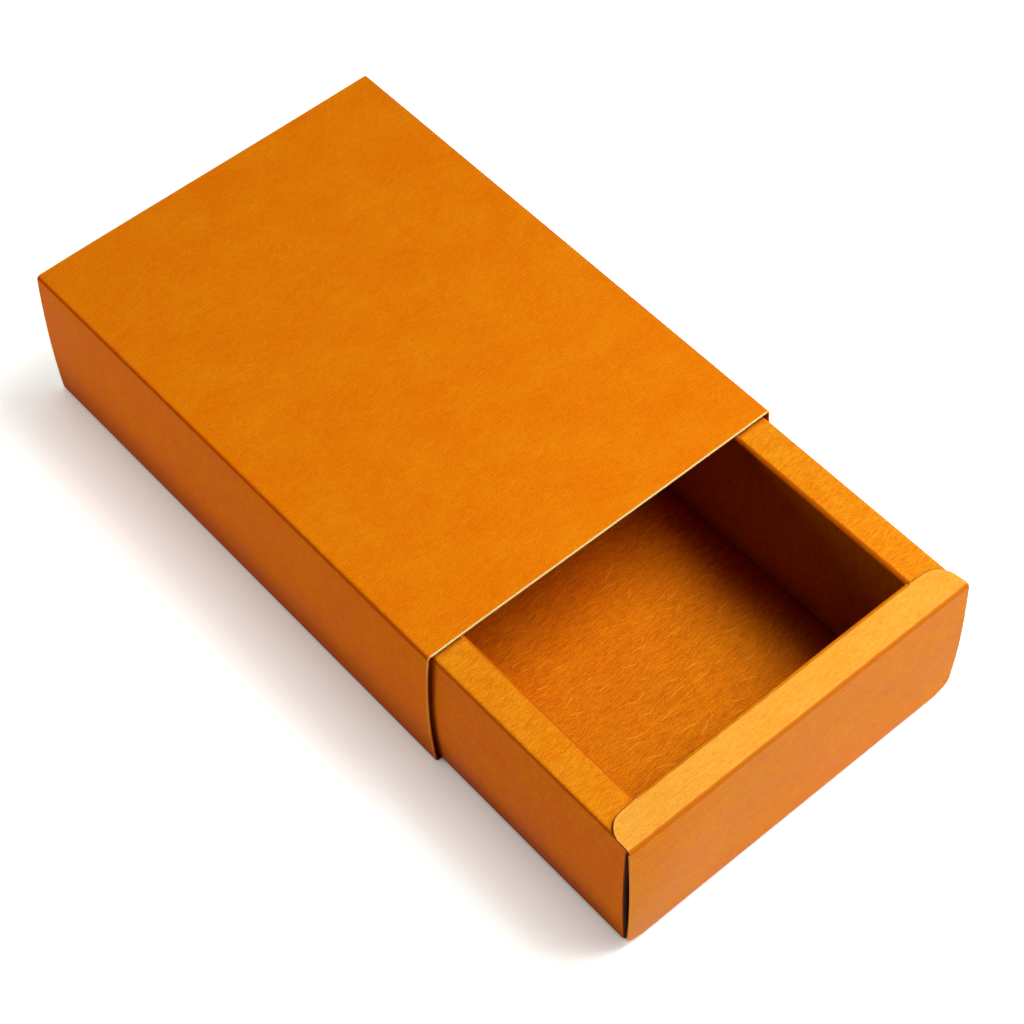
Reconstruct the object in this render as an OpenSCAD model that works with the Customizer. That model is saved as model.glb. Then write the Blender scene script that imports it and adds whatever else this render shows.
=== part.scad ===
// Sliding drawer gift box: a folded paperboard tray with hollow double walls, which slides in a glued
// paperboard sleeve that is open at both ends. +Z is up, the tray is drawn out towards -Y, and the origin
// is the centre of the sleeve's underside. Each panel is drawn with the fold that joins it to the panel
// before it, so the panels of one sheet meet face to face at their folds.

/* [Sleeve] */
// Width of the sleeve, outside
sleeve_w = 100; // [80:1:160]
// Length of the sleeve, which is also the length of the tray
sleeve_l = 144; // [110:1:240]
// Height of the sleeve, outside
sleeve_h = 42; // [30:0.5:80]
// Height of the glue flap inside the right side panel
glue_flap_h = 15; // [8:0.5:28]

/* [Board] */
// Thickness of the paperboard
board = 0.5; // [0.3:0.05:0.8]
// Radius inside a fold
fold_inside_r = 0.5; // [0.2:0.1:1]

/* [Fit] */
// Gap between the tray and the glue flap beside it
slide_clearance = 0.2; // [0.1:0.1:1]
// Gap between the tray's top and the sleeve's top panel
top_clearance = 0.4; // [0.2:0.1:2]
// How far the tray is drawn out of the sleeve
drawn_out = 62; // [0:1:144]

/* [Tray] */
// Width of the ledges on the two long walls
side_ledge_w = 9.2; // [7:0.1:14]
// Width of the ledges on the two end walls
end_ledge_w = 9.4; // [7:0.1:14]
// Radius of the rounded corner of each ear on the end ledges
ear_r = 3.2; // [1.5:0.1:6]
// Radius of the lower corners of the end walls
end_corner_r = 3; // [1:0.1:8]
// Gap at the edges of the panels that are tucked in
tuck_clearance = 0.2; // [0.1:0.05:0.5]
// Gap between an end wall and the corner flaps behind it
flap_gap = 0.3; // [0.1:0.1:1]
// Length of the corner flaps inside the end walls
corner_flap_l = 30; // [12:1:36]
// Slant of the corner flaps' free edges, per side
corner_flap_slant = 3; // [0:0.5:6]
// Width of the foot flaps hidden in the long walls
foot_flap_w = 6.5; // [3:0.1:7]

/* [Lock tabs] */
// Width of a lock tab at the foot of an end inner wall
tab_w = 16; // [8:0.5:24]
// Distance between the middles of a wall's two lock tabs
tab_spacing = 44; // [26:1:50]
// Gap around a lock tab in its slot
slot_clearance = 0.15; // [0.05:0.05:0.4]

/* [Hidden] */
$fn = 48;
SLEEVE_ORANGE = [0.87, 0.48, 0.07];
TRAY_ORANGE = [0.90, 0.53, 0.16];
LEDGE_ORANGE = [0.96, 0.62, 0.22];
INSIDE_BROWN = [0.72, 0.38, 0.08];
// How far a cut runs past the edge that it cuts
CUT_PAST = 1;

// Radius outside a fold
fold_r = fold_inside_r + board;

// The sleeve's outside faces
sleeve_x = sleeve_w / 2;
sleeve_y = sleeve_l / 2;

// The tray's outside faces, in the tray's own frame: its origin is the centre of its underside
tray_x = sleeve_x - 2 * board - slide_clearance;
tray_y = sleeve_l / 2;
tray_h = sleeve_h - 2 * board - top_clearance;

// The end walls and their ledges stop short of the tray's sides, clear of the fold of the glue flap
end_x = tray_x - fold_inside_r;
// The end ledges lie on the side ledges, one board higher
side_top = tray_h - board;
// The inside faces of the inner walls
inner_x = tray_x - side_ledge_w;
inner_y = tray_y - end_ledge_w;
// The outside faces of the corner flaps, which stand behind the end walls
flap_y = tray_y - board - flap_gap;
// The long walls end where the folds of the corner flaps begin
wall_y = flap_y - fold_r;
// The inner long walls end behind the corner flaps
inner_wall_y = flap_y - board - tuck_clearance;
// Half the width of the end inner walls, which are tucked between the inner long walls
tucked_x = inner_x - tuck_clearance;
// The corner flaps' lower and upper edges, clear of the folds above and below them
flap_low = fold_r + tuck_clearance;
flap_high = side_top - fold_r - tuck_clearance;

// ---- Ways of drawing a panel ----

// Draws a shape of the X-Z plane out along Y, between -half and +half
module along_y(half) {
    translate([0, half, 0])
        rotate([90, 0, 0])
            linear_extrude(2 * half)
                children();
}

// Draws a shape of the Y-Z plane out along X, between -half and +half
module along_x(half) {
    translate([-half, 0, 0])
        rotate([90, 0, 90])
            linear_extrude(2 * half)
                children();
}

// A flat strip of board, between its lowest and highest corner
module strip(low, high) {
    translate(low)
        square(high - low);
}

// A quarter turn of board round its centre. Quarter 0 lies between the two positive axes, and each
// further one lies a quarter turn on, anticlockwise.
module fold(centre, quarter) {
    translate(centre)
        rotate(90 * quarter)
            intersection() {
                difference() {
                    circle(fold_r);
                    circle(fold_inside_r);
                }
                square(fold_r);
            }
}

// Puts a shape of the tray's own frame where the tray lies in the sleeve
module in_tray() {
    translate([0, -drawn_out, board])
        children();
}

module on_the_right() {
    mirror([1, 0, 0])
        children();
}

module at_the_back() {
    mirror([0, 1, 0])
        children();
}

// ---- Sleeve ----

module sleeve_top_panel() {
    color(SLEEVE_ORANGE)
        along_y(sleeve_y)
            strip([-sleeve_x + fold_r, sleeve_h - board], [sleeve_x - fold_r, sleeve_h]);
}

module sleeve_left_panel() {
    color(SLEEVE_ORANGE)
        along_y(sleeve_y) {
            fold([-sleeve_x + fold_r, sleeve_h - fold_r], 1);
            strip([-sleeve_x, fold_r], [-sleeve_x + board, sleeve_h - fold_r]);
        }
}

// The right side panel covers the glue flap, down to the surface that the box stands on
module sleeve_right_panel() {
    color(SLEEVE_ORANGE)
        along_y(sleeve_y) {
            fold([sleeve_x - fold_r, sleeve_h - fold_r], 0);
            strip([sleeve_x - board, 0], [sleeve_x, sleeve_h - fold_r]);
        }
}

module sleeve_bottom_panel() {
    color(SLEEVE_ORANGE)
        along_y(sleeve_y) {
            fold([-sleeve_x + fold_r, fold_r], 2);
            strip([-sleeve_x + fold_r, 0], [sleeve_x - board - fold_r, board]);
        }
}

module sleeve_glue_flap() {
    flap_x = sleeve_x - board;
    color(SLEEVE_ORANGE)
        along_y(sleeve_y) {
            fold([flap_x - fold_r, fold_r], 3);
            strip([flap_x - board, fold_r], [flap_x, glue_flap_h]);
        }
}

// ---- Tray: base ----

// The slots take the lock tabs of the two end inner walls
module tray_base_panel() {
    slot_size = [tab_w + 2 * slot_clearance, board + 2 * slot_clearance];
    color(INSIDE_BROWN)
        in_tray()
            linear_extrude(board)
                difference() {
                    strip([-tray_x + fold_r, -tray_y + fold_r], [tray_x - fold_r, tray_y - fold_r]);
                    for (side = [-1, 1], end = [-1, 1])
                        translate([side * tab_spacing / 2, end * (inner_y + board / 2)])
                            square(slot_size, center = true);
                }
}

// ---- Tray: long walls, drawn for the left ----

module outer_wall() {
    along_y(wall_y) {
        fold([-tray_x + fold_r, fold_r], 2);
        strip([-tray_x, fold_r], [-tray_x + board, side_top - fold_r]);
    }
}

module side_ledge() {
    along_y(wall_y) {
        fold([-tray_x + fold_r, side_top - fold_r], 1);
        strip([-tray_x + fold_r, side_top - board], [-inner_x - fold_r, side_top]);
    }
}

module inner_wall() {
    along_y(inner_wall_y)
        strip([-inner_x - board, board + fold_r], [-inner_x, side_top - fold_r]);
    along_y(wall_y)
        fold([-inner_x - fold_r, side_top - fold_r], 0);
}

// The foot flap turns outwards from the inner wall's lower edge and lies on the base, inside the wall
module foot_flap() {
    along_y(wall_y) {
        fold([-inner_x - fold_r, board + fold_r], 3);
        strip([-inner_x - foot_flap_w, board], [-inner_x - fold_r, 2 * board]);
    }
}

module tray_left_outer_wall() {
    color(TRAY_ORANGE)
        in_tray()
            outer_wall();
}

module tray_left_ledge() {
    color(LEDGE_ORANGE)
        in_tray()
            side_ledge();
}

module tray_left_inner_wall() {
    color(INSIDE_BROWN)
        in_tray()
            inner_wall();
}

module tray_left_foot_flap() {
    color(INSIDE_BROWN)
        in_tray()
            foot_flap();
}

module tray_right_outer_wall() {
    color(TRAY_ORANGE)
        in_tray()
            on_the_right()
                outer_wall();
}

module tray_right_ledge() {
    color(LEDGE_ORANGE)
        in_tray()
            on_the_right()
                side_ledge();
}

module tray_right_inner_wall() {
    color(INSIDE_BROWN)
        in_tray()
            on_the_right()
                inner_wall();
}

module tray_right_foot_flap() {
    color(INSIDE_BROWN)
        in_tray()
            on_the_right()
                foot_flap();
}

// ---- Tray: end walls, drawn for the front ----

// The wall's lower corners are rounded, and its lower fold runs between them
module end_outer_wall() {
    straight_x = end_x - end_corner_r;
    translate([0, -tray_y + board / 2, 0])
        along_y(board / 2) {
            strip([-end_x, fold_r + end_corner_r], [end_x, tray_h - fold_r]);
            strip([-straight_x, fold_r], [straight_x, fold_r + end_corner_r]);
            for (side = [-1, 1])
                translate([side * straight_x, fold_r + end_corner_r])
                    circle(end_corner_r);
        }
    along_x(straight_x)
        fold([-tray_y + fold_r, fold_r], 2);
}

// The ledge's outline, seen from above: a strip with an ear at each end, which has one rounded corner.
// Between the ears the edge is cut back to where the inner wall's fold begins.
module end_ledge_outline() {
    low_y = -tray_y + fold_r;
    round_y = -inner_y - ear_r;
    difference() {
        union() {
            strip([-end_x, low_y], [end_x, round_y]);
            strip([-end_x + ear_r, low_y], [end_x - ear_r, -inner_y]);
            for (side = [-1, 1])
                translate([side * (end_x - ear_r), round_y])
                    circle(ear_r);
        }
        strip([-inner_x, -inner_y - fold_r], [inner_x, -inner_y + CUT_PAST]);
    }
}

module end_ledge() {
    translate([0, 0, tray_h - board])
        linear_extrude(board)
            end_ledge_outline();
    along_x(end_x)
        fold([-tray_y + fold_r, tray_h - fold_r], 1);
}

// The end inner wall is tucked between the inner long walls, with two lock tabs in slots of the base
module end_inner_wall() {
    translate([0, -inner_y - board / 2, 0])
        along_y(board / 2) {
            strip([-tucked_x, board], [tucked_x, tray_h - fold_r]);
            for (side = [-1, 1])
                strip([side * tab_spacing / 2 - tab_w / 2, 0], [side * tab_spacing / 2 + tab_w / 2, board]);
        }
    along_x(tucked_x)
        fold([-inner_y - fold_r, tray_h - fold_r], 0);
}

module tray_front_outer_wall() {
    color(TRAY_ORANGE)
        in_tray()
            end_outer_wall();
}

module tray_front_ledge() {
    color(LEDGE_ORANGE)
        in_tray()
            end_ledge();
}

module tray_front_inner_wall() {
    color(INSIDE_BROWN)
        in_tray()
            end_inner_wall();
}

module tray_back_outer_wall() {
    color(TRAY_ORANGE)
        in_tray()
            at_the_back()
                end_outer_wall();
}

module tray_back_ledge() {
    color(LEDGE_ORANGE)
        in_tray()
            at_the_back()
                end_ledge();
}

module tray_back_inner_wall() {
    color(INSIDE_BROWN)
        in_tray()
            at_the_back()
                end_inner_wall();
}

// ---- Tray: corner flaps, drawn for the front left corner ----

// A corner flap turns in from the end of an outer long wall and stands against the inside of the end wall
module corner_flap() {
    fold_centre = [-tray_x + fold_r, -wall_y];
    tip_x = -tray_x + corner_flap_l;
    translate([0, 0, flap_low])
        linear_extrude(flap_high - flap_low)
            fold(fold_centre, 2);
    translate([0, -flap_y + board, 0])
        rotate([90, 0, 0])
            linear_extrude(board)
                polygon([
                    [fold_centre[0], flap_low],
                    [tip_x, flap_low + corner_flap_slant],
                    [tip_x, flap_high - corner_flap_slant],
                    [fold_centre[0], flap_high]
                ]);
}

module tray_front_left_corner_flap() {
    color(INSIDE_BROWN)
        in_tray()
            corner_flap();
}

module tray_front_right_corner_flap() {
    color(INSIDE_BROWN)
        in_tray()
            on_the_right()
                corner_flap();
}

module tray_back_left_corner_flap() {
    color(INSIDE_BROWN)
        in_tray()
            at_the_back()
                corner_flap();
}

module tray_back_right_corner_flap() {
    color(INSIDE_BROWN)
        in_tray()
            on_the_right()
                at_the_back()
                    corner_flap();
}

sleeve_top_panel();
sleeve_left_panel();
sleeve_right_panel();
sleeve_bottom_panel();
sleeve_glue_flap();
tray_base_panel();
tray_left_outer_wall();
tray_left_ledge();
tray_left_inner_wall();
tray_left_foot_flap();
tray_right_outer_wall();
tray_right_ledge();
tray_right_inner_wall();
tray_right_foot_flap();
tray_front_outer_wall();
tray_front_ledge();
tray_front_inner_wall();
tray_back_outer_wall();
tray_back_ledge();
tray_back_inner_wall();
tray_front_left_corner_flap();
tray_front_right_corner_flap();
tray_back_left_corner_flap();
tray_back_right_corner_flap();
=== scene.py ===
import math
from types import SimpleNamespace

import bmesh
import bpy
import numpy as np
from mathutils import Matrix, Vector


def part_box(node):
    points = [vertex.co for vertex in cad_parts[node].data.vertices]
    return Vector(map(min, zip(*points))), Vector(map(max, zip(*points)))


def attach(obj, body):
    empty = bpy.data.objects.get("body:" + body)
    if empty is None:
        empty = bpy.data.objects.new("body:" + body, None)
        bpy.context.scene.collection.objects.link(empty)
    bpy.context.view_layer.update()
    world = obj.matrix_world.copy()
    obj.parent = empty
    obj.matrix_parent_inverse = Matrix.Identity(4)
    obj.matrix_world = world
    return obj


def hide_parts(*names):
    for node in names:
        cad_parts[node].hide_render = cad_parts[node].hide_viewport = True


# Sliding drawer gift box. Each CAD panel is replaced by a panel of folded board, made from its flat cut:
# it is ruled into a fine grid, bent round its folds, given its thickness and then a slight bow.
# Lengths are in millimetres until a mesh is made.

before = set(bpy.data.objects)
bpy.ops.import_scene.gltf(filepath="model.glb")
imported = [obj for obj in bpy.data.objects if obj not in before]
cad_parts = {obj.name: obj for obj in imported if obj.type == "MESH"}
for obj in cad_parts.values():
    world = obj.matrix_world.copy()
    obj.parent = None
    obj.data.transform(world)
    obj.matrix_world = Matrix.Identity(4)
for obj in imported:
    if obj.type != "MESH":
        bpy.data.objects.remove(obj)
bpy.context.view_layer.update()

MM = 0.001


# ---- Sizes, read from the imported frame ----

def box_mm(node):
    low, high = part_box(node)
    return np.array(low) / MM, np.array(high) / MM


def read_sizes():
    """The driving sizes. Those of the tray are in its own frame, with its origin at the centre of the
    tray's underside."""
    s = SimpleNamespace()
    low, high = box_mm("sleeve_top_panel")
    s.board, s.sleeve_h, s.sleeve_y, flat_x = high[2] - low[2], high[2], high[1], high[0]
    s.sleeve_x = box_mm("sleeve_right_panel")[1][0]
    s.fold_r = s.sleeve_x - flat_x
    s.glue_top = box_mm("sleeve_glue_flap")[1][2]

    front, back = box_mm("tray_front_ledge"), box_mm("tray_back_ledge")
    floor_low, floor_high = box_mm("tray_base_panel")
    s.tray_at = np.array([0.0, (front[0][1] + back[1][1]) / 2, floor_low[2]])
    s.tray_y = (back[1][1] - front[0][1]) / 2
    s.tray_top, s.end_x = front[1][2] - s.tray_at[2], front[1][0]
    s.floor_y = (floor_high[1] - floor_low[1]) / 2
    outer = box_mm("tray_left_outer_wall")
    s.tray_x, s.wall_y = -outer[0][0], (outer[1][1] - outer[0][1]) / 2
    s.side_top = box_mm("tray_left_ledge")[1][2] - s.tray_at[2]
    inner = box_mm("tray_left_inner_wall")
    s.inner_x, s.inner_wall_y = -inner[1][0], (inner[1][1] - inner[0][1]) / 2
    s.foot_x = -box_mm("tray_left_foot_flap")[0][0]
    end_wall = box_mm("tray_front_inner_wall")
    s.inner_y, s.tucked_x = s.tray_at[1] - end_wall[1][1], end_wall[1][0]
    tabs = sorted({
        round(v.co.x / MM, 2)
        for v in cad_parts["tray_front_inner_wall"].data.vertices
        if v.co.z / MM < end_wall[0][2] + s.board / 4 and v.co.x > 0
    })
    s.tab_near, s.tab_far = tabs[0], tabs[-1]
    flap = box_mm("tray_front_left_corner_flap")
    s.flap_y = s.tray_at[1] - flap[0][1]
    s.flap_tip, s.flap_low, s.flap_high = flap[1][0], flap[0][2] - s.tray_at[2], flap[1][2] - s.tray_at[2]
    return s


S = read_sizes()
QUARTER = S.fold_r * math.pi / 2     # length of the printed face round a fold
STRIPS = 8                           # a fold's strips in a grid
CREASE = QUARTER * 5 / STRIPS        # from a fold's flat side to the line where the board is creased
STEEP = QUARTER - CREASE             # the same from its upright side
SLOT_GAP = 0.15                      # gap round a lock tab in its slot
FLAP_SLANT = 3.0                     # slant of the corner flaps' free edges
CORNER_R, EAR_R = 3.0, 4.4           # rounded corners of the end walls and of the ears
EAR_SLANT = 0.9                      # how much shorter an ear is along its outer side
EAR_SHORT = 0.55                     # how far the ears end short of the inner wall's face
CUT_R = 0.15                         # how far a cut edge of the board is worn round
LIFT = 0.03                          # the tray rides this far above the sleeve's bottom

# How far real board stands out at mid-height.
SLEEVE_BOW = 0.75                                         # the sleeve's sides
MOUTH_BOW_LEFT, MOUTH_BOW_RIGHT = 0.45, 0.15              # how much more that is at its mouth
TRAY_BOW_LEFT, TRAY_BOW_RIGHT = 1.05, 0.65                # the tray's long walls
FRONT_BOW_LEFT, FRONT_BOW_RIGHT = 1.45, 0.25              # the two ends of its front wall
LEFT_FROM, RIGHT_FROM, BOTH_TO = 15, 25, 47               # how far from its middle these start, and are full
BARREL = 0.15                                             # the sideways bulge of the end walls' sides

FRONT_WIDER, BACK_WIDER = 1.0, 0.1                        # how much wider than its solid each end wall is
EAR_UP_LEFT, EAR_UP_RIGHT, EAR_UP_BACK = 0.3, 0.2, 0.08   # how far the free ends of the ears lift

STEP, FINE_STEP, FOLD_STEP = 2.5, 1.6, 3.0   # the grids' steps: across folds, on end ledges, along folds
PAST = 1.0                                   # windows at the edge of a cut reach this far past it
MERGE = 2e-4                                 # corners of a grid that are closer than this become one
TOUCH = 1e-3                                 # a place that is this close to a line lies on it
FAR = 4.0                                    # distances from a fold are counted up to this
EDGE_BAND_REACH = 0.45                            # how soon the pale band, partly rubbed and partly painted highlight, fades away from a cut edge
PRINTED, REVERSE, CUT = range(3)             # the materials of a panel, in the order of its looks


# ---- Paths: the printed face of a panel, seen along its folds ----

def turn(centre, start, end):
    """A quarter fold round a centre, between two angles in degrees."""
    way = math.copysign(1, end - start)

    def at(d):
        angle = math.radians(start) + way * d / S.fold_r
        c, s = np.cos(angle), np.sin(angle)
        return centre[0] + S.fold_r * c, centre[1] + S.fold_r * s, c, s

    return QUARTER, at


def line(start, end, out):
    """A flat stretch. out is the direction that its printed face looks in."""
    start, end = np.array(start, float), np.array(end, float)
    length = np.linalg.norm(end - start)
    step = (end - start) / length

    def at(d):
        one = np.ones_like(d)
        return start[0] + step[0] * d, start[1] + step[1] * d, out[0] * one, out[1] * one

    return length, at


def length_of(path):
    return sum(part[0] for part in path)


def along(path, u):
    """Places and outward directions at the distances u along a path. It runs on past both ends."""
    found = np.zeros((4, len(u)))
    start = 0.0
    for i, (length, at) in enumerate(path):
        here = np.ones(len(u), bool)
        if i > 0:
            here &= u > start
        if i < len(path) - 1:
            here &= u <= start + length
        found[:, here] = at(u[here] - start)
        start += length
    return found


# ---- Flat cuts ----

def rect(u0, u1, v0, v1):
    return [(u0, v0), (u1, v0), (u1, v1), (u0, v1)]


def cut(*corners, steps=8):
    """A convex cut from its corners (u, v, r), each rounded to the radius r."""
    points = []
    for i, (u, v, r) in enumerate(corners):
        here = Vector((u, v))
        if not r:
            points.append(here)
            continue
        back = (Vector(corners[i - 1][:2]) - here).normalized()
        on = (Vector(corners[(i + 1) % len(corners)][:2]) - here).normalized()
        for k in range(steps + 1):
            angle = k / steps * math.pi / 2
            points.append(here + r * (back * (1 - math.sin(angle)) + on * (1 - math.cos(angle))))
    return [tuple(p) for p in points]


def ruled(low, high, step, near=(0.25, 0.7, 1.5)):
    """Where a grid is ruled between two edges: every step, and close to both edges."""
    inner = np.arange(math.ceil(low / step), math.floor(high / step) + 1) * step
    inner = inner[(inner > low + near[-1] + step / 3) & (inner < high - near[-1] - step / 3)]
    return sorted([*(low + n for n in near), *inner, *(high - n for n in near)])


def ruled_path(path, step):
    """The same along a path, with each fold in its strips."""
    lines, start = [], 0.0
    for length, _ in path:
        if math.isclose(length, QUARTER):
            lines += [start + QUARTER * k / STRIPS for k in range(STRIPS + 1)]
        else:
            lines += ruled(start, start + length, step)
        start += length
    return lines


def flat_grid(cuts, windows, u_lines, v_lines):
    """A flat mesh of these convex cuts, ruled along the lines, without the windows (u0, u1, v0, v1)."""
    bm = bmesh.new()
    for points in cuts:
        bm.faces.new([bm.verts.new((u, v, 0)) for u, v in points])
    edges = [x for w in windows for x in w]
    for normal, lines in (((1, 0, 0), [*u_lines, *edges[0::4], *edges[1::4]]),
                          ((0, 1, 0), [*v_lines, *edges[2::4], *edges[3::4]])):
        for at in sorted({round(x, 5) for x in lines}):
            bmesh.ops.bisect_plane(bm, geom=bm.verts[:] + bm.edges[:] + bm.faces[:], dist=MERGE / 2,
                                   plane_co=[at * n for n in normal], plane_no=normal)
    gone = []
    for f in bm.faces:
        c = f.calc_center_median()
        if any(w[0] < c.x < w[1] and w[2] < c.y < w[3] for w in windows):
            gone.append(f)
    bmesh.ops.delete(bm, geom=gone, context="FACES")
    bmesh.ops.remove_doubles(bm, verts=bm.verts[:], dist=MERGE)
    return bm


def rim_of(bm, is_joint):
    """The grid's edges as rows (corner, corner, direction out of the cut, whether it joins another panel)."""
    rows = []
    for e in bm.edges:
        if len(e.link_faces) != 1:
            continue
        p, q = e.verts[0].co, e.verts[1].co
        out = Vector((q.y - p.y, p.x - q.x, 0)).normalized()
        middle = (p + q) / 2
        if out.dot(middle - e.link_faces[0].calc_center_median()) < 0:
            out = -out
        rows.append((e.verts[0].index, e.verts[1].index, np.array(out[:2]), is_joint(middle.x, middle.y)))
    return rows


# ---- The slight bow of real board ----

def ease(x, low, high):
    t = np.clip((x - low) / (high - low), 0, 1)
    return t * t * (3 - 2 * t)


def bow_sleeve(p):
    """The side panels stand out a little at mid-height, most at the mouth. The top panel is slightly
    uneven."""
    x, y, z = p.T
    belly = np.sin(np.pi * np.clip(z / S.sleeve_h, 0, 1)) ** 0.7
    mouth = np.clip(0.5 - 0.5 * y / S.sleeve_y, 0, 1)
    side = ease(np.abs(x), S.sleeve_x - 4 * S.fold_r, S.sleeve_x - 0.8 * S.fold_r)
    out = SLEEVE_BOW + np.where(x < 0, MOUTH_BOW_LEFT * mouth ** 2, MOUTH_BOW_RIGHT * mouth)
    # Slow waves, up to 0.12 mm high, that end before the long folds.
    uneven = 0.07 * np.sin(x / 17 + 0.6) * np.sin(y / 23 + 1.1) + 0.05 * np.sin(x / 29 - y / 19)
    inner = 1 - ease(np.abs(x), S.sleeve_x - 12, S.sleeve_x - 2)
    top = ease(z, S.sleeve_h - 2, S.sleeve_h - S.board)
    return p + np.stack([np.sign(x) * out * belly * side, 0 * y, uneven * top * inner], 1)


def bow_tray(p):
    """In the tray's own frame: the outer long walls stand out a little at mid-height, and half as much at
    their ends."""
    x, y, z = p.T
    belly = np.sin(np.pi * np.clip(z / S.side_top, 0, 1))
    side = ease(np.abs(x), S.tray_x - 3 * S.fold_r, S.tray_x - 0.8 * S.fold_r)
    ends = 1 - 0.5 * ease(np.abs(y), S.wall_y - 25, S.wall_y)
    out = np.where(x < 0, -TRAY_BOW_LEFT, TRAY_BOW_RIGHT)
    return p + np.stack([out * belly * side * ends, 0 * y, 0 * z + LIFT], 1)


# ---- Panels ----

def solid_places(uv, outs):
    """The places (u, v, t) of a panel: its grid on the printed face, the same on the reverse, and the two
    lines of its rim in between. Cut edges are set in by the radius of their rounding on both faces. outs
    holds, for each place on the rim, the directions out of the cut and whether another panel is joined there."""
    inset = np.zeros(uv.shape)
    for k, both in outs.items():
        raw = [o for o, joint in both if not joint]
        if len(raw) == 1:
            inset[k] = raw[0]
        elif len(raw) > 1:
            inset[k] = (raw[0] + raw[1]) / max(0.3, 1 + raw[0] @ raw[1])
    face, rim = uv - inset * CUT_R, uv[sorted(outs)]
    return np.concatenate([
        np.column_stack([at, np.full(len(at), depth)])
        for at, depth in ((face, 0.0), (face, S.board), (rim, CUT_R), (rim, S.board - CUT_R))
    ])


def directions_at(point, u, v, t, h=0.02):
    """The directions of u, of v and out of the printed face, found from places that are h away."""
    du = (point(u + h, v, t) - point(u - h, v, t)) / (2 * h)
    dv = (point(u, v + h, t) - point(u, v - h, t)) / (2 * h)
    printed = np.cross(du, dv)
    printed /= np.linalg.norm(printed, axis=1)[:, None]
    outward = point(u, v, t - h) - point(u, v, t)
    printed *= np.sign((printed * outward).sum(1))[:, None]
    return du, dv, printed


def board_faces(bm, rim, outs, co, directions):
    """The faces of a panel between its places co, the normals of their corners and their materials."""
    du, dv, printed = directions
    n = len(bm.verts)
    at_ring = {k: i for i, k in enumerate(sorted(outs))}
    faces, normals, kinds = [], [], []

    def sideways(k, out):
        d = out[0] * du[k] + out[1] * dv[k]
        return d / np.linalg.norm(d)

    def add(corners, corner_normals, kind):
        fan = [co[k] - co[corners[0]] for k in corners[1:]]
        turned = sum(np.cross(a, b) for a, b in zip(fan, fan[1:]))
        if turned @ sum(corner_normals) < 0:
            corners, corner_normals = corners[::-1], corner_normals[::-1]
        faces.append(corners)
        normals.extend(corner_normals)
        kinds.append(kind)

    for f in bm.faces:
        corners = [x.index for x in f.verts]
        add(corners, [printed[k] for k in corners], PRINTED)
        corners = [k + n for k in corners]
        add(corners, [-printed[k] for k in corners], REVERSE)
    for i, j, out, joint in rim:
        ways = []
        for k in (i, j):
            # A corner looks the way of both of its cut edges where these run on nearly straight.
            near = [o for o, other in outs[k] if not other and not joint and o @ out > 0.6] or [out]
            ways.append(sideways(k, sum(near)))
        upper = [2 * n + at_ring[i], 2 * n + at_ring[j]]
        lower = [x + len(at_ring) for x in upper]
        kind = PRINTED if joint else CUT
        lift = ways if joint else [printed[i], printed[j]]
        drop = ways if joint else [-printed[i + n], -printed[j + n]]
        add([i, j, upper[1], upper[0]], [*lift, ways[1], ways[0]], kind)
        add([*upper, lower[1], lower[0]], [*ways, ways[1], ways[0]], kind)
        add([*lower, j + n, i + n], [*ways, drop[1], drop[0]], kind)
    return faces, normals, kinds


def make_panel(name, node, path, place, flat, cuts, windows=(), step=STEP, v_lines=(), is_joint=None,
               folds=(), looks=None, body="tray", mirror=(1, 1), own=None):
    """Makes a panel of board that replaces a CAD node. place puts (a, b, v) of a path in its frame, and flat
    gives its place in the flat sheet. windows are left out of the cuts, and v_lines are ruled as well.
    is_joint tells where the rim joins another panel, which is at both ends of the path if it isn't given.
    folds are the places of the fold lines along the path. step is the grid's step along the path, mirror the
    signs that x and y take, and own bends this panel alone."""
    total = length_of(path)
    side = np.array([*mirror, 1.0])

    def both_ends(u, v):
        return u < TOUCH or u > total - TOUCH

    def point(u, v, t):
        a, b, na, nb = along(path, u)
        p = np.stack(place(a - t * na, b - t * nb, v), 1)
        if own is not None:
            p = own(p)
        if body == "sleeve":
            return bow_sleeve(p)
        return bow_tray(p * side) + S.tray_at

    v_all = [v for c in cuts for _, v in c]
    across = [*ruled(min(v_all), max(v_all), FOLD_STEP), *v_lines]
    bm = flat_grid(cuts, windows, ruled_path(path, step), across)
    bm.verts.index_update()
    rim = rim_of(bm, is_joint or both_ends)
    uv = np.array([v.co[:2] for v in bm.verts])
    outs = {}
    for i, j, out, joint in rim:
        for k in (i, j):
            outs.setdefault(k, []).append((out, joint))
    uvt = solid_places(uv, outs)
    u, v, t = uvt.T
    co = point(u, v, t)
    faces, normals, kinds = board_faces(bm, rim, outs, co, directions_at(point, u, v, t))
    bm.free()

    mesh = bpy.data.meshes.new(name)
    mesh.from_pydata((co * MM).tolist(), [], faces)
    mesh.polygons.foreach_set("material_index", np.array(kinds, np.int32))
    mesh.shade_smooth()
    mesh.normals_split_custom_set(np.array(normals).tolist())
    store(mesh, "sheet", "FLOAT_VECTOR", np.column_stack([*flat(u, v), t]) * side)
    store(mesh, "crease", "FLOAT", np.min([np.full(len(u), FAR), *(np.abs(u - at) for at in folds)], axis=0))
    store(mesh, "cut_edge_nearness", "FLOAT", np.exp(-distance_to(rim, uv, uvt[:, :2]) / EDGE_BAND_REACH))
    for material in looks or TRAY_LOOKS:
        mesh.materials.append(material)
    mesh.validate()

    piece = bpy.data.objects.new(name, mesh)
    bpy.context.scene.collection.objects.link(piece)
    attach(piece, body)
    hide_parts(node)
    return piece


def store(mesh, name, kind, values):
    attribute = mesh.attributes.new(name, kind, "POINT")
    attribute.data.foreach_set("vector" if kind == "FLOAT_VECTOR" else "value",
                               np.asarray(values, np.float32).ravel())


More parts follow.
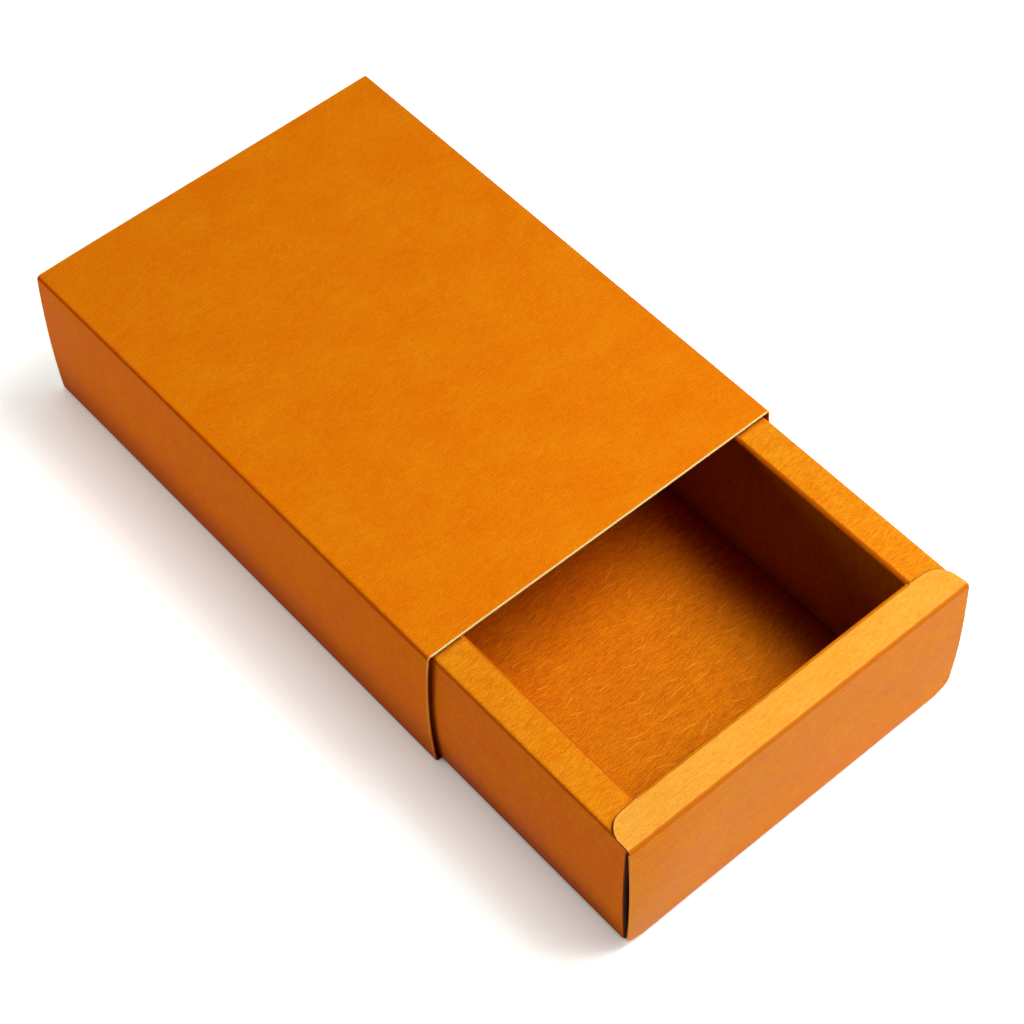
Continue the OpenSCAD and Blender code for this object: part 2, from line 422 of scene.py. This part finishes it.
def distance_to(rim, uv, places):
    """Distance in the flat cut from each place to the nearest cut edge."""
    least = np.full(len(places), np.inf)
    for i, j, _, joint in rim:
        if joint:
            continue
        p, d = uv[i], uv[j] - uv[i]
        share = np.clip((places - p) @ d / max(d @ d, 1e-12), 0, 1)
        least = np.minimum(least, np.linalg.norm(places - p - share[:, None] * d, axis=1))
    return least


# ---- Materials ----

def srgb(r, g, b):
    """A colour as linear light, from its 0 to 255 values."""
    return [*((c / 255 / 12.92) if c <= 10 else ((c / 255 + 0.055) / 1.055) ** 2.4 for c in (r, g, b)), 1.0]


class Nodes:
    """The nodes of a material or world, with short ways of adding more."""

    def __init__(self, owner):
        owner.use_nodes = True
        self.tree = owner.node_tree
        self.tree.nodes.clear()

    def add(self, kind, inputs=None, **settings):
        node = self.tree.nodes.new(kind)
        for key, value in settings.items():
            setattr(node, key, value)
        for key, value in (inputs or {}).items():
            self.put(node.inputs[key], value)
        return node

    def put(self, socket, value):
        if isinstance(value, bpy.types.NodeSocket):
            self.tree.links.new(value, socket)
        else:
            socket.default_value = value

    def math(self, kind, *values, clamp=False):
        node = self.add("ShaderNodeMath", operation=kind, use_clamp=clamp)
        for socket, value in zip(node.inputs, values):
            self.put(socket, value)
        return node.outputs[0]

    def ramp(self, value, low, high, out_low=0.0, out_high=1.0):
        return self.add("ShaderNodeMapRange", {
            "Value": value, "From Min": low, "From Max": high, "To Min": out_low, "To Max": out_high,
        }).outputs["Result"]


class Look(Nodes):
    """A material of board, with short ways of adding the nodes that board needs."""

    def __init__(self, name):
        self.material = bpy.data.materials.new(name)
        super().__init__(self.material)
        self.sheet = self.add("ShaderNodeAttribute", attribute_name="sheet").outputs["Vector"]

    def attribute(self, name):
        return self.add("ShaderNodeAttribute", attribute_name=name).outputs["Fac"]

    def vector(self, kind, a, b):
        node = self.add("ShaderNodeVectorMath", operation=kind)
        self.put(node.inputs[0], a)
        self.put(node.inputs[1], b)
        return node.outputs[0]

    def noise(self, size, detail=3.0, rough=0.55, twist=0.0, shift=0.0, where=None):
        """Noise of features of the size (along the grain, across it, through the board), in millimetres."""
        at = self.vector("DIVIDE", where or self.sheet, size)
        at = self.vector("ADD", at, (shift, shift * 0.7, shift * 1.3))
        return self.add("ShaderNodeTexNoise", {
            "Vector": at, "Scale": 1.0, "Detail": detail, "Roughness": rough, "Distortion": twist,
        }).outputs["Fac"]

    def sway(self, noise, amount, middle=0.0):
        """Noise as a value that lies up to an amount to either side of the middle."""
        return self.ramp(noise, 0.3, 0.7, middle - amount, middle + amount)

    def mix(self, share, a, b, kind="MIX"):
        """A mix of two colours. Its sockets go by number, because some of their names occur twice."""
        node = self.add("ShaderNodeMix", {0: share, 6: a, 7: b}, data_type="RGBA", blend_type=kind)
        return node.outputs[2]

    def times(self, colour, value, parts=(1.0, 1.0, 1.0)):
        """The colour times 1 and a value more, of which red, green and blue each take their own part."""
        each = [self.math("MULTIPLY_ADD", value, part, 1.0) for part in parts]
        change = self.add("ShaderNodeCombineColor", dict(zip(("Red", "Green", "Blue"), each))).outputs[0]
        return self.mix(1.0, colour, change, "MULTIPLY")

    def curved(self, size, amount):
        """The sheet's coordinates, bent sideways so that what is drawn along the grain wanders."""
        bend = self.ramp(self.noise((size,) * 3, detail=1.0, shift=9.0), 0.25, 0.75, -amount, amount)
        offset = self.add("ShaderNodeCombineXYZ", {"Y": bend}).outputs[0]
        return self.vector("ADD", self.sheet, offset)

    def fibres(self, cell, half_length, width, spread, share):
        """Short bent fibres: each cell (across, along) of a loose pattern holds at most one, turned by up to
        spread to either side of the grain. share is the part of the cells that hold one."""
        cell = (*cell, 1)
        near = self.add("ShaderNodeTexVoronoi", {
            "Vector": self.vector("DIVIDE", self.sheet, cell), "Scale": 1.0, "Randomness": 0.9,
        }, voronoi_dimensions="2D")
        centre = self.vector("MULTIPLY", near.outputs["Position"], cell)
        chance = self.add("ShaderNodeSeparateColor", {"Color": near.outputs["Color"]})
        turned = self.add("ShaderNodeVectorRotate", {
            "Vector": self.vector("SUBTRACT", self.sheet, centre),
            "Angle": self.ramp(chance.outputs[0], 0, 1, -spread, spread),
        }, rotation_type="Z_AXIS")
        place = self.add("ShaderNodeSeparateXYZ", {"Vector": turned.outputs[0]})
        x, y = place.outputs[0], place.outputs[1]
        curve = self.ramp(chance.outputs[1], 0, 1, -0.07, 0.07)
        bend = self.math("MULTIPLY", self.math("MULTIPLY", x, x), curve)
        off = self.math("ABSOLUTE", self.math("ADD", y, bend))
        reach = self.ramp(chance.outputs[2], 0, 1, 0.35 * half_length, half_length)
        left = self.math("SUBTRACT", reach, self.math("ABSOLUTE", x))
        drawn = self.math("MULTIPLY", self.ramp(off, width, 0.3 * width), self.ramp(left, 0, 0.6))
        pick = self.math("FRACT", self.math("MULTIPLY", chance.outputs[1], 7.31))
        return self.math("MULTIPLY", drawn, self.math("LESS_THAN", pick, share))

    def open_share(self, reach):
        """How much of the space over the surface is open, up to a reach in millimetres."""
        return self.add("ShaderNodeAmbientOcclusion", {"Distance": reach * MM}, samples=8).outputs["AO"]

    def finish(self, colour, roughness, height, depth, shine):
        """The finished material. depth is how far height stands out, in millimetres."""
        bump = self.add("ShaderNodeBump", {"Height": height, "Distance": depth * MM, "Strength": 1.0})
        shader = self.add("ShaderNodeBsdfPrincipled", {
            "Base Color": colour, "Roughness": roughness, "Specular IOR Level": shine, "IOR": 1.45,
            "Normal": bump.outputs[0],
        })
        self.add("ShaderNodeOutputMaterial", {"Surface": shader.outputs[0]})
        return self.material


FIBRE, SPECK, PALE_RUBBED_AND_HIGHLIGHT = srgb(255, 174, 44), srgb(222, 140, 50), srgb(255, 205, 105)
UNDER_SLEEVE_SHADE_REACH = 60.0     # millimetres over the tray's floor within which the sleeve overhangs it, for the painted shade under it


def board_face(name, light, dark, streak, weave, fibre, depth, roughness, spread=0.5, shine=0.05, tucked=None,
               streak_size=(1.7, 0.3, 0.5), wander=0.6, parts=(0.3, 1.0, 1.4),
               fibre_cell=(8.5, 6.0), fibre_width=0.15, close=0.0, reach=1.8, painted_shade_under_sleeve=None,
               crease_width=0.5, crease_depth=(0.75, 0.42, 0.12), worn_colour=PALE_RUBBED_AND_HIGHLIGHT, worn_share=0.45):
    """Uncoated dyed kraft board: softly clouded, with a fine grain, streaks and short pale fibres along the
    sheet, and darker creases. streak, weave and fibre are how strongly the streaks, the grain and the fibres
    show, and parts is how much of the first two red, green and blue each take. tucked is how much
    painted shade darkens it away from its fold, with the distances where that starts and ends. close is how
    much painted contact shade, found by ambient occlusion, darkens it within the reach of another panel or
    the floor, and painted_shade_under_sleeve how much painted shade changes its red, green and blue deep
    under the sleeve. Next to its cut edges it turns paler, partly rubbed and partly a painted highlight."""
    look = Look(name)
    clouds = look.noise((16, 12, 9), twist=0.3)
    flocks = look.noise((4.5, 2.6, 2), rough=0.6, twist=0.4, shift=3.0)
    streaks = look.noise(streak_size, detail=1.0, rough=0.5, twist=0.3, shift=5.0,
                         where=look.curved(5.0, wander))
    grain = look.noise((0.34, 0.26, 0.3), detail=1.0, rough=0.5, shift=7.0)
    long_fibres = look.fibres(fibre_cell, half_length=2.7, width=fibre_width, spread=spread, share=0.55)
    short_fibres = look.fibres((3.6, 2.9), half_length=1.1, width=0.11, spread=1.5, share=0.6)
    fibres = look.math("ADD", long_fibres, look.math("MULTIPLY", short_fibres, 0.45), clamp=True)

    tone = look.math("ADD", look.sway(clouds, 0.3, 0.5), look.sway(flocks, 0.15))
    colour = look.mix(tone, dark, light)
    fine = look.math("ADD", look.sway(streaks, streak), look.sway(grain, weave))
    colour = look.times(colour, fine, parts)
    colour = look.mix(look.math("MULTIPLY", fibres, fibre), colour, FIBRE)
    from_fold = look.attribute("crease")
    soft = look.math("ADD", from_fold, look.sway(flocks, 0.08))
    crease = look.ramp(soft, crease_width, 0.5 * crease_width)
    deep = [part * share for part, share in zip(light, (*crease_depth, 1.0))]
    colour = look.mix(look.math("MULTIPLY", crease, 0.95), colour, deep)
    # Painted shade: darker away from the fold, for faces that stand in shade.
    if tucked:
        share, near, far = tucked
        colour = look.times(colour, look.ramp(from_fold, near, far, 0.0, -share))
    # Painted contact shade: where ambient occlusion finds other surfaces near, the colour darkens, blue most
    # and red least.
    if close:
        painted_contact_shade = look.ramp(look.open_share(reach), 0.9, 0.5, 0.0, -close)
        colour = look.times(colour, painted_contact_shade, (0.8, 1.0, 1.2))
    # Painted shade under the sleeve: where ambient occlusion finds the sleeve over the floor, the colour
    # turns darker and redder.
    if painted_shade_under_sleeve:
        colour = look.times(colour, look.ramp(look.open_share(UNDER_SLEEVE_SHADE_REACH), 0.6, 0.36), painted_shade_under_sleeve)
    # Pale band next to the cut edges: partly rubbed board, partly a painted highlight.
    worn = look.math("MULTIPLY", look.ramp(look.attribute("cut_edge_nearness"), 0.45, 0.68),
                     look.ramp(grain, 0.38, 0.6, worn_share - 0.35, worn_share))
    colour = look.mix(worn, colour, worn_colour)

    rough = look.math("ADD", look.sway(streaks, 0.06), look.sway(clouds, 0.05))
    rough = look.math("ADD", rough, look.ramp(crease, 0, 1, roughness, roughness + 0.08))
    height = streaks
    for part, share in ((grain, 0.6), (flocks, 0.2), (fibres, 0.6), (crease, -1.5)):
        height = look.math("ADD", height, look.math("MULTIPLY", part, share))
    return look.finish(colour, rough, height, depth, shine)


def board_edge(name, light, dark):
    """A cut edge of the board: pale layers of pulp, with darker specks."""
    look = Look(name)
    layers = look.noise((1.6, 1.6, 0.09), rough=0.6, twist=0.2)
    specks = look.noise((0.5, 0.5, 0.12), rough=0.6, shift=4.0)
    colour = look.mix(look.sway(layers, 0.5, 0.5), dark, light)
    colour = look.mix(look.ramp(specks, 0.58, 0.74, 0.0, 0.4), colour, SPECK)
    height = look.math("ADD", layers, specks)
    return look.finish(colour, look.sway(specks, 0.1, 0.7), height, depth=0.03, shine=0.2)


def sleeve_looks():
    """The sleeve's board. The cut edge of its top panel is paler than those of its sides, a painted
    highlight.
    """
    # Painted contact shade darkens the sleeve's face near the floor and the tray, and the pale band along its
    # cut edges is partly rubbed and partly a painted highlight.
    face = board_face("sleeve_face", srgb(245, 141, 12), srgb(241, 121, 6), streak=0.1, weave=0.26,
                      fibre=0.3, depth=0.008, roughness=0.45, spread=1.5, shine=0.013, close=0.5, reach=22.0,
                      worn_colour=srgb(255, 246, 176), worn_share=1.0)
    back = board_face("sleeve_inside", srgb(210, 110, 12), srgb(192, 84, 5), streak=0.25, weave=0.2,
                      fibre=0.4, depth=0.015, roughness=0.6)
    painted_highlight_edge = board_edge("sleeve_top_edge", srgb(255, 252, 190), srgb(255, 238, 140))
    side_edge = board_edge("sleeve_side_edge", srgb(255, 182, 56), srgb(250, 150, 32))
    return (face, back, painted_highlight_edge), (face, back, side_edge)


def tray_looks(name, light, dark, shine=0.05, streak=0.24, weave=0.24, edge=None, **more):
    """The tray's board: its printed face, and its rougher reverse, which is the floor that the box holds."""
    face = board_face(name, light, dark, streak, weave, fibre=0.25, depth=0.012, roughness=0.42, shine=shine,
                      **more)
    return face, TRAY_INSIDE, edge or TRAY_EDGE


FRONT_CREASE = {"crease_width": 0.85, "crease_depth": (0.68, 0.35, 0.03)}
TRAY_EDGE = board_edge("tray_edge", srgb(255, 178, 62), srgb(248, 146, 36))
# Painted shade: the ears' cut edges are dark brown, as an edge in shade looks.
EAR_SHADED_EDGE = board_edge("tray_ear_edge", srgb(170, 62, 6), srgb(136, 40, 3))
# The tray's floor: painted contact shade near its walls, and darker, redder painted shade deep under the
# sleeve.
TRAY_INSIDE = board_face("tray_inside", srgb(243, 143, 12), srgb(236, 128, 7), streak=0.24, weave=0.22,
                         fibre=1.0, depth=0.012, roughness=0.6, streak_size=(2.2, 0.24, 0.5), wander=0.5,
                         parts=(0.6, 1.0, 1.2), fibre_cell=(6.0, 4.4), fibre_width=0.19, close=0.4,
                         reach=14.0, painted_shade_under_sleeve=(-0.15, -0.5, -0.7))
SLEEVE_TOP_LOOKS, SLEEVE_LOOKS = sleeve_looks()
# Painted contact shade within 1.8 mm of other panels, such as round the ears and under the sleeve's edge.
TRAY_LOOKS = tray_looks("tray_face", srgb(243, 150, 20), srgb(239, 133, 11), close=0.75)
# Painted shade: the front wall's face is a slightly darker copy of the tray's face; its pale band along the
# cut edges is partly rubbed and partly a painted highlight.
FRONT_SHADED_LOOKS = tray_looks("tray_front_face", srgb(242, 148, 19), srgb(238, 130, 10), shine=0.03, streak=0.16,
                         weave=0.2, worn_colour=srgb(255, 176, 58), worn_share=0.85, **FRONT_CREASE)
# Painted shade: the long outer walls are a redder, darker copy of the tray's face, with painted contact shade
# within 16 mm of the floor and the sleeve.
SIDE_SHADED_LOOKS = tray_looks("tray_side_face", srgb(243, 137, 12), srgb(239, 119, 6), shine=0.015, streak=0.14,
                        close=0.6, reach=16.0)
# Painted highlight: the end ledges are a lighter, yellower copy of the tray's face.
END_LEDGE_LIT_LOOKS = tray_looks("tray_end_ledge_face", srgb(254, 179, 66), srgb(253, 166, 50), streak=0.12,
                             weave=0.14, edge=EAR_SHADED_EDGE, worn_share=0.5, **FRONT_CREASE)
# Inner walls: painted shade darkens them away from the ledge's fold, standing in for the shade inside the
# tray.
INNER_SHADED_LOOKS = tray_looks("tray_inner_face", srgb(240, 148, 18), srgb(226, 130, 10), tucked=(0.6, 0.6, 1.3))
# Corner flaps: painted shade turns them nearly black just past their fold, a dark slit beside the end walls.
TUCK_SHADED_LOOKS = tray_looks("tray_tuck_face", srgb(236, 128, 12), srgb(216, 108, 6), shine=0.015,
                        tucked=(0.96, 0.05, 0.4))


# ---- Sleeve ----

def along_y(a, b, v):
    return a, v, b


def along_x(a, b, v):
    return v, a, b


def along_z(a, b, v):
    return a, b, v


def sleeve_panel(name, node, path, sheet_from, way, folds, is_joint=None, looks=SLEEVE_LOOKS):
    """A panel of the sleeve. sheet_from and way say where it lies across the flat sheet."""
    piece = make_panel(name, node, path, along_y, lambda u, v: (sheet_from + way * u, v),
                       [rect(0, length_of(path), -S.sleeve_y, S.sleeve_y)], folds=folds, is_joint=is_joint,
                       looks=looks, body="sleeve")
    return piece


def make_sleeve():
    x, h, r, b = S.sleeve_x, S.sleeve_h, S.fold_r, S.board
    side = QUARTER + h - 2 * r
    top = [line((-x + r, h), (x - r, h), (0, 1))]
    sleeve_panel("sleeve_top", "sleeve_top_panel", top, -x + r, 1, (-CREASE, length_of(top) + CREASE),
                 looks=SLEEVE_TOP_LOOKS)
    left = [turn((-x + r, h - r), 90, 180), line((-x, h - r), (-x, r), (-1, 0))]
    sleeve_panel("sleeve_left_side", "sleeve_left_panel", left, -x + r, -1, (CREASE, side + STEEP))
    bottom = [turn((-x + r, r), 180, 270), line((-x + r, 0), (x - b - r, 0), (0, -1))]
    sleeve_panel("sleeve_bottom", "sleeve_bottom_panel", bottom, -x + r - side, -1,
                 (STEEP, length_of(bottom) + CREASE))
    flap = [turn((x - b - r, r), 270, 360), line((x - b, r), (x - b, S.glue_top), (1, 0))]
    sleeve_panel("sleeve_glue_seam", "sleeve_glue_flap", flap, -x + r - side - length_of(bottom), -1,
                 (CREASE,), lambda u, v: u < TOUCH)
    right = [turn((x - r, h - r), 90, 0), line((x, h - r), (x, 0), (1, 0))]
    sleeve_panel("sleeve_right_side", "sleeve_right_panel", right, x - r, 1, (CREASE,),
                 lambda u, v: u < TOUCH)


# ---- Tray ----

def roll(out, top, inside, low, ledge_to):
    """The paths of a roll-over wall: outer wall, ledge and inner wall. out and inside are its two faces."""
    r = S.fold_r
    return (
        [turn((-out + r, r), 270, 180), line((-out, r), (-out, top - r), (-1, 0))],
        [turn((-out + r, top - r), 180, 90), line((-out + r, top), (-ledge_to, top), (0, 1))],
        [turn((-inside - r, top - r), 90, 0), line((-inside, top - r), (-inside, low), (1, 0))],
    )


def make_base():
    x, y = S.tray_x - S.fold_r, S.floor_y
    path = [line((-x, 0), (x, 0), (0, -1))]
    slot_low, slot_high = S.inner_y - SLOT_GAP, S.inner_y + S.board + SLOT_GAP
    windows = []
    for near, far in ((S.tab_near, S.tab_far), (-S.tab_far, -S.tab_near)):
        ends = (x + (near - SLOT_GAP), x + (far + SLOT_GAP))
        windows += [(*ends, slot_low, slot_high), (*ends, -slot_high, -slot_low)]
    straight = S.end_x - CORNER_R

    def is_joint(u, v):
        if abs(v) > y - TOUCH:
            return abs(u - x) < straight
        return (u < TOUCH or u > 2 * x - TOUCH) and abs(v) < S.wall_y

    piece = make_panel("tray_floor", "tray_base_panel", path, along_y, lambda u, v: (u - x, v),
                       [rect(0, 2 * x, -y, y)], windows, v_lines=(-S.wall_y, S.wall_y), is_joint=is_joint,
                       folds=(-CREASE, 2 * x + CREASE))


def make_long_wall(side, mirror):
    r, b = S.fold_r, S.board
    outer, ledge, inner = roll(S.tray_x, S.side_top, S.inner_x, b + r, S.inner_x + r)
    foot = [turn((-S.inner_x - r, b + r), 0, -90), line((-S.inner_x - r, b), (-S.foot_x, b), (0, -1))]
    starts, at = [], -S.tray_x + r
    for path in (outer, ledge, inner, foot):
        starts.append(at)
        at -= length_of(path)

    def panel(name, node, path, start, cuts, folds, slot, **more):
        piece = make_panel(f"tray_{side}_{name}", f"tray_{side}_{node}", path, along_y,
                           lambda u, v: (start - u, v), cuts, folds=folds, mirror=(mirror, 1), **more)

    y, inner_y, total = S.wall_y, S.inner_wall_y, length_of(outer)

    def meets_tuck(u, v):
        return abs(v) > y - TOUCH and S.flap_low < r + u - QUARTER < S.flap_high

    panel("outside", "outer_wall", outer, starts[0], [rect(0, total, -y, y)],
          (CREASE, total + STEEP), "tray_board", looks=SIDE_SHADED_LOOKS,
          is_joint=lambda u, v: u < TOUCH or u > total - TOUCH or meets_tuck(u, v))
    panel("rim", "ledge", ledge, starts[1], [rect(0, length_of(ledge), -y, y)],
          (STEEP, length_of(ledge) + STEEP), "tray_board")
    panel("inside", "inner_wall", inner, starts[2],
          [rect(0, QUARTER, -y, y), rect(QUARTER, length_of(inner), -inner_y, inner_y)],
          (STEEP,), "tray_inside", v_lines=(-y, y), looks=INNER_SHADED_LOOKS,
          is_joint=lambda u, v: (u < TOUCH or u > length_of(inner) - TOUCH) and abs(v) < y)
    panel("foot", "foot_flap", foot, starts[3], [rect(0, length_of(foot), -y, y)], (), "tray_inside",
          looks=INNER_SHADED_LOOKS, is_joint=lambda u, v: u < TOUCH)


def barrel_side(total, straight, low_x, top_x):
    """One side of an end wall's flat cut: it stands out slightly at mid-height, and its lower corner is
    rounded."""
    start = QUARTER + CORNER_R
    round_steps, up_steps = 8, 14
    angles = [k / round_steps * math.pi / 2 for k in range(round_steps)]
    corner = [(start - CORNER_R * math.cos(a), low_x - (low_x - straight) * (1 - math.sin(a)))
              for a in angles]
    shares = [k / up_steps for k in range(up_steps + 1)]
    return corner + [(start + (total - start) * up,
                      low_x + (top_x - low_x) * min(1, 3 * up) + BARREL * math.sin(math.pi * up))
                     for up in shares]


def make_end_wall(end, mirror):
    r, b = S.fold_r, S.board
    front = mirror == 1
    outer, ledge, inner = roll(S.tray_y, S.tray_top, S.inner_y, 0, S.inner_y)
    starts, at = [], -S.tray_y + r
    for length in (length_of(outer), length_of(ledge) - r, 0):
        starts.append(at)
        at -= length
    straight = S.end_x - CORNER_R
    wider = FRONT_WIDER if front else BACK_WIDER

    def stands_out(p):
        """The sides of the front wall stand a little forward at mid-height."""
        if not front:
            return p
        x, y, z = p.T
        belly = np.sin(np.pi * np.clip(z / S.tray_top, 0, 1))
        corner = (FRONT_BOW_LEFT * ease(-x, LEFT_FROM, BOTH_TO)
                  + FRONT_BOW_RIGHT * ease(x, RIGHT_FROM, BOTH_TO))
        return p + np.stack([0 * x, -belly * corner, 0 * x], 1)

    def ears_up(p):
        """The ears lie loosely on the long ledges, and lift a little at their free ends."""
        x, y, z = p.T
        out = ease(np.abs(x), S.inner_x - 1, S.end_x)
        back = ease(y, -S.tray_y + 2.5 * r, -S.inner_y)
        amount = np.where(x < 0, EAR_UP_LEFT, EAR_UP_RIGHT) if front else EAR_UP_BACK
        return p + np.stack([0 * x, 0 * x, amount * out * back], 1)

    def panel(name, node, path, start, cuts, folds, slot, **more):
        piece = make_panel(f"tray_{end}_{name}", f"tray_{end}_{node}", path, along_x,
                           lambda u, v: (v, start - u), cuts, folds=folds, mirror=(1, mirror), **more)

    total = length_of(outer)
    left_side = barrel_side(total, straight, S.end_x + wider, S.end_x + wider + 0.1)
    right_side = barrel_side(total, straight, S.end_x + wider / 2, S.end_x + wider)
    panel("outside", "outer_wall", outer, starts[0],
          [rect(0, QUARTER, -straight, straight), [(u, -v) for u, v in left_side][::-1] + right_side],
          (CREASE, total + STEEP), "tray_board", v_lines=(-straight, straight), own=stands_out,
          looks=FRONT_SHADED_LOOKS)

    wide, left, right = S.end_x + wider, S.end_x + 0.7 * wider, S.end_x + 0.2 * wider
    total_ledge = length_of(ledge)
    tip = total_ledge - EAR_SHORT
    ear = tip - EAR_SLANT
    panel("rim", "ledge", ledge, starts[1],
          [cut((0, -wide, 0), (ear, -left, EAR_R), (tip, -S.inner_x, 0), (tip, S.inner_x, 0),
               (ear, right, EAR_R), (0, wide, 0))],
          (STEEP, total_ledge - r + STEEP), "tray_board", step=FINE_STEP, looks=END_LEDGE_LIT_LOOKS,
          windows=[(total_ledge - r, total_ledge + PAST, -S.tucked_x, S.tucked_x)], own=ears_up,
          is_joint=lambda u, v: u < TOUCH or (abs(u - total_ledge + r) < TOUCH and abs(v) < S.tucked_x),
          v_lines=(-S.tucked_x, S.tucked_x))

    total_inner, x = length_of(inner), S.tucked_x
    gaps = ((-x - PAST, -S.tab_far), (-S.tab_near, S.tab_near), (S.tab_far, x + PAST))
    panel("inside", "inner_wall", inner, starts[2], [rect(0, total_inner, -x, x)], (CREASE,), "tray_inside",
          looks=INNER_SHADED_LOOKS, is_joint=lambda u, v: u < TOUCH,
          windows=[(total_inner - b, total_inner + PAST, low, high) for low, high in gaps])


def make_corner_flap(end, side, mirror):
    r = S.fold_r
    path = [turn((-S.tray_x + r, -S.wall_y), 180, 270),
            line((-S.tray_x + r, -S.flap_y), (S.flap_tip, -S.flap_y), (0, -1))]
    total, low, high = length_of(path), S.flap_low, S.flap_high
    cuts = [rect(0, QUARTER, low, high),
            [(QUARTER, low), (total, low + FLAP_SLANT), (total, high - FLAP_SLANT), (QUARTER, high)]]
    piece = make_panel(f"tray_{end}_{side}_tuck", f"tray_{end}_{side}_corner_flap", path, along_z,
                       lambda u, v: (-S.tray_x - v, -S.wall_y - u), cuts, folds=(0,), mirror=mirror,
                       looks=TUCK_SHADED_LOOKS, is_joint=lambda u, v: u < TOUCH)


def make_tray():
    make_base()
    for side, mirror in (("left", 1), ("right", -1)):
        make_long_wall(side, mirror)
    for end, mirror in (("front", 1), ("back", -1)):
        make_end_wall(end, mirror)
        for side, across in (("left", 1), ("right", -1)):
            make_corner_flap(end, side, (across, mirror))


# ---- Camera, floor and light ----

def towards(azimuth, elevation):
    """The direction to an azimuth (0 is the front, 90 the right) and an elevation, in degrees."""
    a, e = math.radians(azimuth), math.radians(elevation)
    return Vector((math.sin(a) * math.cos(e), -math.cos(a) * math.cos(e), math.sin(e)))


def make_camera():
    """The photograph's view: its direction, roll, place and focal length."""
    back = towards(azimuth=-39.315, elevation=53.691)
    roll_by = -0.035
    place = Vector((-0.22573, -0.31613, 0.50167))
    photo_width, focal_length = 1024, 2608.6     # pixels
    right = Vector((0, 0, 1)).cross(back).normalized()
    up = back.cross(right)
    across = math.cos(roll_by) * right + math.sin(roll_by) * up
    upward = -math.sin(roll_by) * right + math.cos(roll_by) * up
    data = bpy.data.cameras.new("camera")
    data.sensor_width = 36.0
    data.lens = data.sensor_width * focal_length / photo_width
    data.clip_start, data.clip_end = 0.05, 20
    camera = bpy.data.objects.new("camera", data)
    camera.matrix_world = Matrix.Translation(place) @ Matrix((across, upward, back)).transposed().to_4x4()
    bpy.context.scene.collection.objects.link(camera)
    bpy.context.scene.camera = camera


def seen_share(nodes):
    """1 for a ray from the camera, or from gloss or glass, and 0 for one that lights something."""
    light = nodes.add("ShaderNodeLightPath")
    total = light.outputs["Is Camera Ray"]
    for name in ("Is Glossy Ray", "Is Transmission Ray"):
        total = nodes.math("ADD", total, light.outputs[name], clamp=True)
    return total


def floor_material():
    """Pale, with a glow that is seen but lights nothing. The glow fades close to the box, so that the lamps'
    shadow stays, and ambient occlusion dims it further beside the box, a painted contact shadow. It is
    strongest far from the box, where the lamps reach less."""
    material = bpy.data.materials.new("studio_floor")
    nodes = Nodes(material)
    place = nodes.add("ShaderNodeNewGeometry").outputs["Position"]
    away = nodes.add("ShaderNodeVectorMath", {0: place}, operation="LENGTH").outputs["Value"]
    full = nodes.ramp(away, low=0.35, high=1.2, out_low=0.755, out_high=1.0)
    # Painted contact shadow: ambient occlusion dims the floor's glow beside the box.
    near = nodes.add("ShaderNodeAmbientOcclusion", {"Distance": 0.019}, samples=16).outputs["AO"]
    strength = nodes.math("MULTIPLY", nodes.math("MULTIPLY", seen_share(nodes), full), near)
    glow = nodes.add("ShaderNodeEmission", {"Color": (0.98, 1, 1, 1), "Strength": strength})
    diffuse = nodes.add("ShaderNodeBsdfDiffuse", {"Color": (0.93, 0.925, 0.91, 1)})
    both = nodes.add("ShaderNodeAddShader", {0: diffuse.outputs[0], 1: glow.outputs[0]})
    nodes.add("ShaderNodeOutputMaterial", {"Surface": both.outputs[0]})
    return material


def make_floor():
    """A plain pale floor that keeps the shadow."""
    mesh = bpy.data.meshes.new("studio_floor")
    half = 4.0
    mesh.from_pydata([(x * half, y * half, 0) for x, y in rect(-1, 1, -1, 1)], [], [(0, 1, 2, 3)])
    mesh.materials.append(floor_material())
    floor = bpy.data.objects.new("studio_floor", mesh)
    bpy.context.scene.collection.objects.link(floor)


def make_world():
    """A white background, which is seen but lights nothing."""
    world = bpy.data.worlds.new("studio")
    nodes = Nodes(world)
    background = nodes.add("ShaderNodeBackground", {
        "Color": (1, 0.985, 0.96, 1), "Strength": seen_share(nodes),
    })
    nodes.add("ShaderNodeOutputWorld", {"Surface": background.outputs[0]})
    bpy.context.scene.world = world


def softbox(name, target, azimuth, elevation, distance, size, power, colour=(1, 1, 1)):
    """A square lamp that looks at the target from its azimuth and elevation. Lengths are in metres."""
    back = towards(azimuth, elevation)
    data = bpy.data.lights.new(name, "AREA")
    data.shape, data.size, data.energy, data.color = "SQUARE", size, power, colour
    light = bpy.data.objects.new(name, data)
    light.location = Vector(target) + distance * back
    light.rotation_mode = "QUATERNION"
    light.rotation_quaternion = (-back).to_track_quat("-Z", "Y")
    light.visible_camera = False
    bpy.context.scene.collection.objects.link(light)


def make_lights():
    """A key from the right, two small lamps near the open end, and a warm low fill for the left sides."""
    middle, mouth = (0, -0.04, 0.03), (0, -0.13, 0.04)
    softbox("key", middle, azimuth=62, elevation=60, distance=1.3, size=0.6, power=12.3)
    softbox("open_end", mouth, azimuth=48, elevation=60, distance=0.32, size=0.12, power=0.35)
    softbox("front", mouth, azimuth=30, elevation=35, distance=0.32, size=0.12, power=0.18,
            colour=(1, 0.86, 0.75))
    softbox("low_fill", middle, azimuth=-128, elevation=9, distance=0.9, size=0.3, power=2.3,
            colour=(1, 0.67, 0.13))


make_camera()
make_floor()
make_world()
make_lights()
make_sleeve()
make_tray()
bpy.context.scene.view_settings.view_transform = "Standard"
